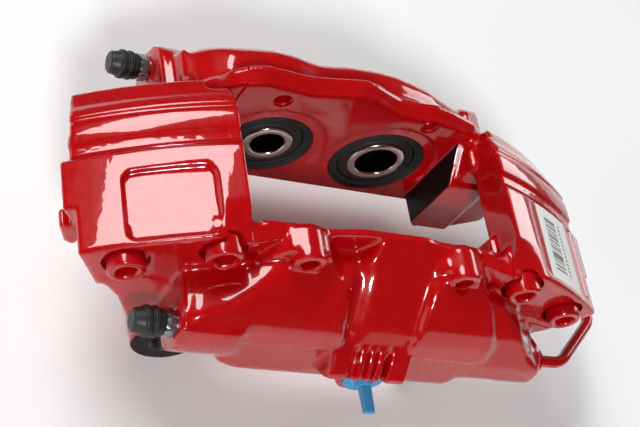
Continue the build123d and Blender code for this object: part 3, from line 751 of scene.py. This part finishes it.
def piston_piece(half, size):
    """Hollow piston, plated outside; its cup is near-black metal, painted shade inside the hollow."""
    side, p = SIDES[half], PISTONS[size]
    r, w0, w1, cup = p["bore"] - 0.06, WALL_W, WALL_W + PISTON_LENGTH, WALL_W + CUP_DEPTH
    outline = [(p["hole"], w0), (p["nose"], w0), (p["nose"], w0 + 6, 0.2), (r, w0 + 8), (r, w1), (0.3, w1, 0),
               (0.3, cup, 0), (p["hole"] + 1.6, cup), (p["hole"] + 1.6, w0 + 4.6, 0.2),
               (p["hole"], w0 + 3, 0.2)]
    v, f = ring_lathe(rounded(outline, 0.9))
    obj = piece(f"piston_{half}_{size}_shown", (along_y(v, p["x"], 0, side), f), CHROME,
                f"piston_{half}_{size}_body", f"piston_{half}_{size}", 50)
    obj.data.materials.append(CUP_PAINTED_SHADE)
    # Faces inside the cup take the near-black metal: painted shade.
    for face in obj.data.polygons:
        x, y, z = (np.array(face.center) - ORIGIN) / MM
        if math.hypot(x - p["x"], z) < p["hole"] + 1.8 and side * y > w0 + 0.9:
            face.material_index = 1


def boot_pieces(half, size):
    """Dust boot: a ring seated in the casting and a lip that rides on the piston."""
    side, p, w0 = SIDES[half], PISTONS[size], WALL_W
    outer, inner = p["boot"] - 0.05, p["bore"] + 2.3
    ring = [(inner, w0 + 1.3), (inner + 0.9, w0 + 0.8), (inner + 1.9, w0 + 0.9), (outer - 1.4, w0 + 0.5),
            (outer - 0.9, w0 - 0.3), (outer - 0.25, w0 - 0.3), (outer, w0 + 0.4), (outer, w0 + 7.2),
            (outer - 1.8, w0 + 7.2), (outer - 1.8, w0 + 2.4), (inner + 1.2, w0 + 2.4),
            (inner + 1.2, w0 + 5.6), (inner, w0 + 5.6)]
    v, f = ring_lathe(rounded(ring, 0.7))
    piece(f"boot_ring_{half}_{size}_shown", (along_y(v, p["x"], 0, side), f), BOOT, "caliper",
          f"boot_ring_{half}_{size}", 60)
    inner, outer = p["nose"] + 0.03, p["bore"] + 1.8
    lip = [(inner, w0 + 1.3), (inner + 0.7, w0 + 0.9), (inner + 1.7, w0 + 1.1), (inner + 2.2, w0 + 1.7),
           (outer - 1.2, w0 + 1.8), (outer - 0.6, w0 + 1.5), (outer, w0 + 1.9), (outer, w0 + 7),
           (outer - 1, w0 + 7), (outer - 1, w0 + 3.4), (inner + 1.8, w0 + 3.4),
           (inner + 1.8, w0 + 5.4), (inner, w0 + 5.4)]
    v, f = ring_lathe(rounded(lip, 0.6))
    piece(f"boot_lip_{half}_{size}_shown", (along_y(v, p["x"], 0, side), f), BOOT,
          f"piston_{half}_{size}_body", f"boot_lip_{half}_{size}", 60)


def bleeder_pieces(half):
    """Bleeder screw with its hexagon, nipple and thread, and the rubber cap over the nipple."""
    side = SIDES[half]
    y, hex0, hex1, end = side * BLEEDER_W, BLEEDER_X - 1.2, BLEEDER_X - 5.8, BLEEDER_X - 16.5
    seat = BLEEDER_X + 16
    rings = [(end + 0.5, 2.3), (end, 2.6), (end + 0.4, 2.9), (end + 1.5, 3.6), (end + 4, 3.6), (end + 6, 2.9),
             (hex1 - 0.02, 3.3), (hex1, 4.9), (hex1 + 0.12, 5.5, BLEEDER_HEX),
             (hex1 + 0.6, BLEEDER_CORNER_R, BLEEDER_HEX), (hex0 - 0.6, BLEEDER_CORNER_R, BLEEDER_HEX),
             (hex0 - 0.12, 5.5, BLEEDER_HEX), (hex0, 4.9), (hex0 + 0.02, BLEEDER_THREAD_R),
             (BLEEDER_X, BLEEDER_THREAD_R)]
    x = BLEEDER_X
    while x < seat - 5:
        rings += [(x, 4.4), (x + 0.5, BLEEDER_THREAD_R)]
        x += 1.0
    rings += [(seat - 3, 3.6), (seat - 0.4, 3.6), (seat + 1.6, 1.0)]
    v, f = lathe(rings, 72)
    piece(f"bleeder_screw_{half}_shown", (along_x(v, y, 0), f), ZINC, f"bleeder_{half}_body",
          f"bleeder_screw_{half}")
    x1, start = hex1 - 0.3, end - 3.0
    outline = [(start, 0.4, 0), (start, 4.4), (start + 0.7, 5.1), (start + 4.6, 5.9), (start + 5.0, 6.75),
               (start + 7.2, 6.75), (start + 7.6, 5.75), (start + 8.2, 5.75), (start + 8.6, 6.7),
               (start + 10.6, 6.7), (start + 11.0, 6.05), (x1, 6.1), (x1, 3.75), (end - 0.4, 3.75),
               (end - 0.4, 0.4, 0)]
    v, f = ring_lathe([(r, h) for h, r in rounded(outline, 0.55)])
    piece(f"bleeder_cap_{half}_shown", (along_x(v, y, 0), f), CAP, f"cap_{half}_body",
          f"bleeder_cap_{half}", 50)


def tube_nut(index, side):
    """Flare nut of the crossover pipe."""
    x0, x1 = TUBE_X + 0.05, TUBE_X + 4.5
    rings = [(TUBE_X - 9, NUT_THREAD_R), (x0 - 0.02, NUT_THREAD_R), (x0, 5.6), (x0 + 0.12, 6.1, NUT_HEX),
             (x0 + 0.6, NUT_CORNER_R, NUT_HEX), (x1 - 0.7, NUT_CORNER_R, NUT_HEX), (x1 - 0.15, 6.1, NUT_HEX),
             (x1, 5.5), (x1 + 0.05, 4.95), (x1 + 0.8, 4.8), (x1 + 1.0, 4.5), (x1 + 1.0, 3.1)]
    v, f = lathe(rings, 72)
    piece(f"tube_nut_{index}_shown", (along_x(v, side * TUBE_W, TUBE_Z), f), PAINT_STEEL, "caliper",
          "tube_nuts" if index == 1 else None)


def plug_piece():
    """Transit plug: ribbed insert, dished flange and a flat pull tab."""
    y = -PORT_W
    rings = [(PORT_W - 3, 4.3), (PORT_W - 2.4, 4.9), (PORT_W, 4.9), (PORT_W + 0.06, 9.3),
             (PORT_W + 0.3, 9.85), (PORT_W + 1.6, 9.85), (PORT_W + 2.05, 9.5), (PORT_W + 2.2, 9.0),
             (PORT_W + 1.7, 8.2), (PORT_W + 1.7, 5.0), (PORT_W + 2.1, 4.3), (PORT_W + 4.6, 4.0),
             (PORT_W + 5, 3.5)]
    v, f = lathe(rings, 72)
    flange = (along_y(v, PORT_X, PORT_Z, -1), f)
    tab = rounded([(y - 1.5, PORT_Z + 2.2), (y - 18, PORT_Z + 1.5), (y - 18, PORT_Z - 1.5),
                   (y - 1.5, PORT_Z - 2.2)], 1.2)
    half = 2.6
    verts = [(PORT_X + offset, a, b) for offset in (-half, half) for a, b in tab]
    arrays = merged([flange, (np.array(verts), prism_faces(len(tab)))])
    obj = piece("port_plug_shown", arrays, BLUE, "plug_body", "port_plug")
    edge = obj.modifiers.new("edge", "BEVEL")
    edge.width = 0.0004
    edge.segments = 2
    edge.limit_method = "ANGLE"
    edge.angle_limit = math.radians(50)


def carried(name, mat):
    """A CAD node that is shown as it is, with its own material."""
    obj = NODES[name]
    obj.data.materials.clear()
    obj.data.materials.append(mat)
    for p in obj.data.polygons:
        p.material_index = 0
    shade(obj, 30)


for half in SIDES:
    casting(half, [PAINT, DARK_BARE, BORED])
    bleeder_pieces(half)
    for size in PISTONS:
        piston_piece(half, size)
        boot_pieces(half, size)
        carried(f"piston_seal_{half}_{size}", SEAL)
for index, (x, z) in enumerate(BOLT_XZ, 1):
    bolt(index, x, z)
for index, side in enumerate((-1, 1), 1):
    tube_nut(index, side)
plug_piece()
carried("crossover_tube", PAINT_STEEL)
carried("alignment_dowels", STEEL)
carried("data_label", LABEL)


# ---------------------------------------------------------------- floor, light and camera

FLOOR_HALF, FLOOR_GAP = 4.0, 0.0005
WORLD_STRENGTH = 0.06
SENSOR_MM, LENS_MM, CLIP_START = 36, 78.05, 0.01


def floor():
    """Pale ground just under the caliper."""
    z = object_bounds()[0].z - FLOOR_GAP
    corners = [(-1, -1), (1, -1), (1, 1), (-1, 1)]
    mesh = bpy.data.meshes.new("floor")
    mesh.from_pydata([(FLOOR_HALF * a, FLOOR_HALF * b, z) for a, b in corners], [], [(0, 1, 2, 3)])
    obj = bpy.data.objects.new("floor", mesh)
    bpy.context.scene.collection.objects.link(obj)
    m, tree, shader = material("pale_floor", (0.94, 0.94, 0.94), 0.85)
    shades = ramp(tree, noise(tree, 3, 2), (0.93, 0.93, 0.93), (0.96, 0.96, 0.96))
    tree.links.new(shades, shader.inputs["Base Color"])
    obj.data.materials.append(m)
    obj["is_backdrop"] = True


def softbox(name, place, aim, size, power):
    """Rectangular studio light that faces a point."""
    data = bpy.data.lights.new(name, "AREA")
    data.shape = "RECTANGLE"
    data.size, data.size_y = size
    data.energy = power
    obj = bpy.data.objects.new(name, data)
    obj.location = place
    obj.rotation_euler = (Vector(aim) - Vector(place)).to_track_quat("-Z", "Y").to_euler()
    bpy.context.scene.collection.objects.link(obj)


def light():
    """Dim white surroundings and three softboxes."""
    world = bpy.data.worlds.new("studio")
    bpy.context.scene.world = world
    world.use_nodes = True
    bpy.context.scene.view_settings.view_transform = "Standard"
    back = world.node_tree.nodes["Background"]
    back.inputs["Color"].default_value = (1, 1, 1, 1)
    back.inputs["Strength"].default_value = WORLD_STRENGTH
    centre = Vector(ORIGIN)
    softbox("top_box", centre + Vector((-1.25, 1.5, 2.3)), centre, (1.8, 1.1), 68)
    softbox("front_box", centre + Vector((-0.9, -2.3, 1.9)), centre, (0.5, 0.5), 60)
    softbox("far_box", centre + Vector((2.5, 1.3, 0.9)), centre, (1.0, 1.2), 17)


# The camera's right, up and backward directions, and its place from the caliper's centre.
CAMERA_X = (0.87197262, -0.1466003, 0.46708896)
CAMERA_Y = (-0.12451709, 0.85631729, 0.50121472)
CAMERA_Z = (-0.47345458, -0.49520607, 0.72843099)
CAMERA_MM = (-312.298, -319.676, 469.218)


def camera():
    """The photograph's point of view."""
    data = bpy.data.cameras.new("camera")
    data.sensor_width = SENSOR_MM
    data.lens = LENS_MM
    data.clip_start = CLIP_START
    obj = bpy.data.objects.new("camera", data)
    bpy.context.scene.collection.objects.link(obj)
    place = np.array(CAMERA_MM) * MM + ORIGIN
    turn = Matrix((CAMERA_X, CAMERA_Y, CAMERA_Z)).transposed().to_4x4()
    obj.matrix_world = Matrix.Translation(Vector(place)) @ turn
    bpy.context.scene.camera = obj


floor()
light()
camera()
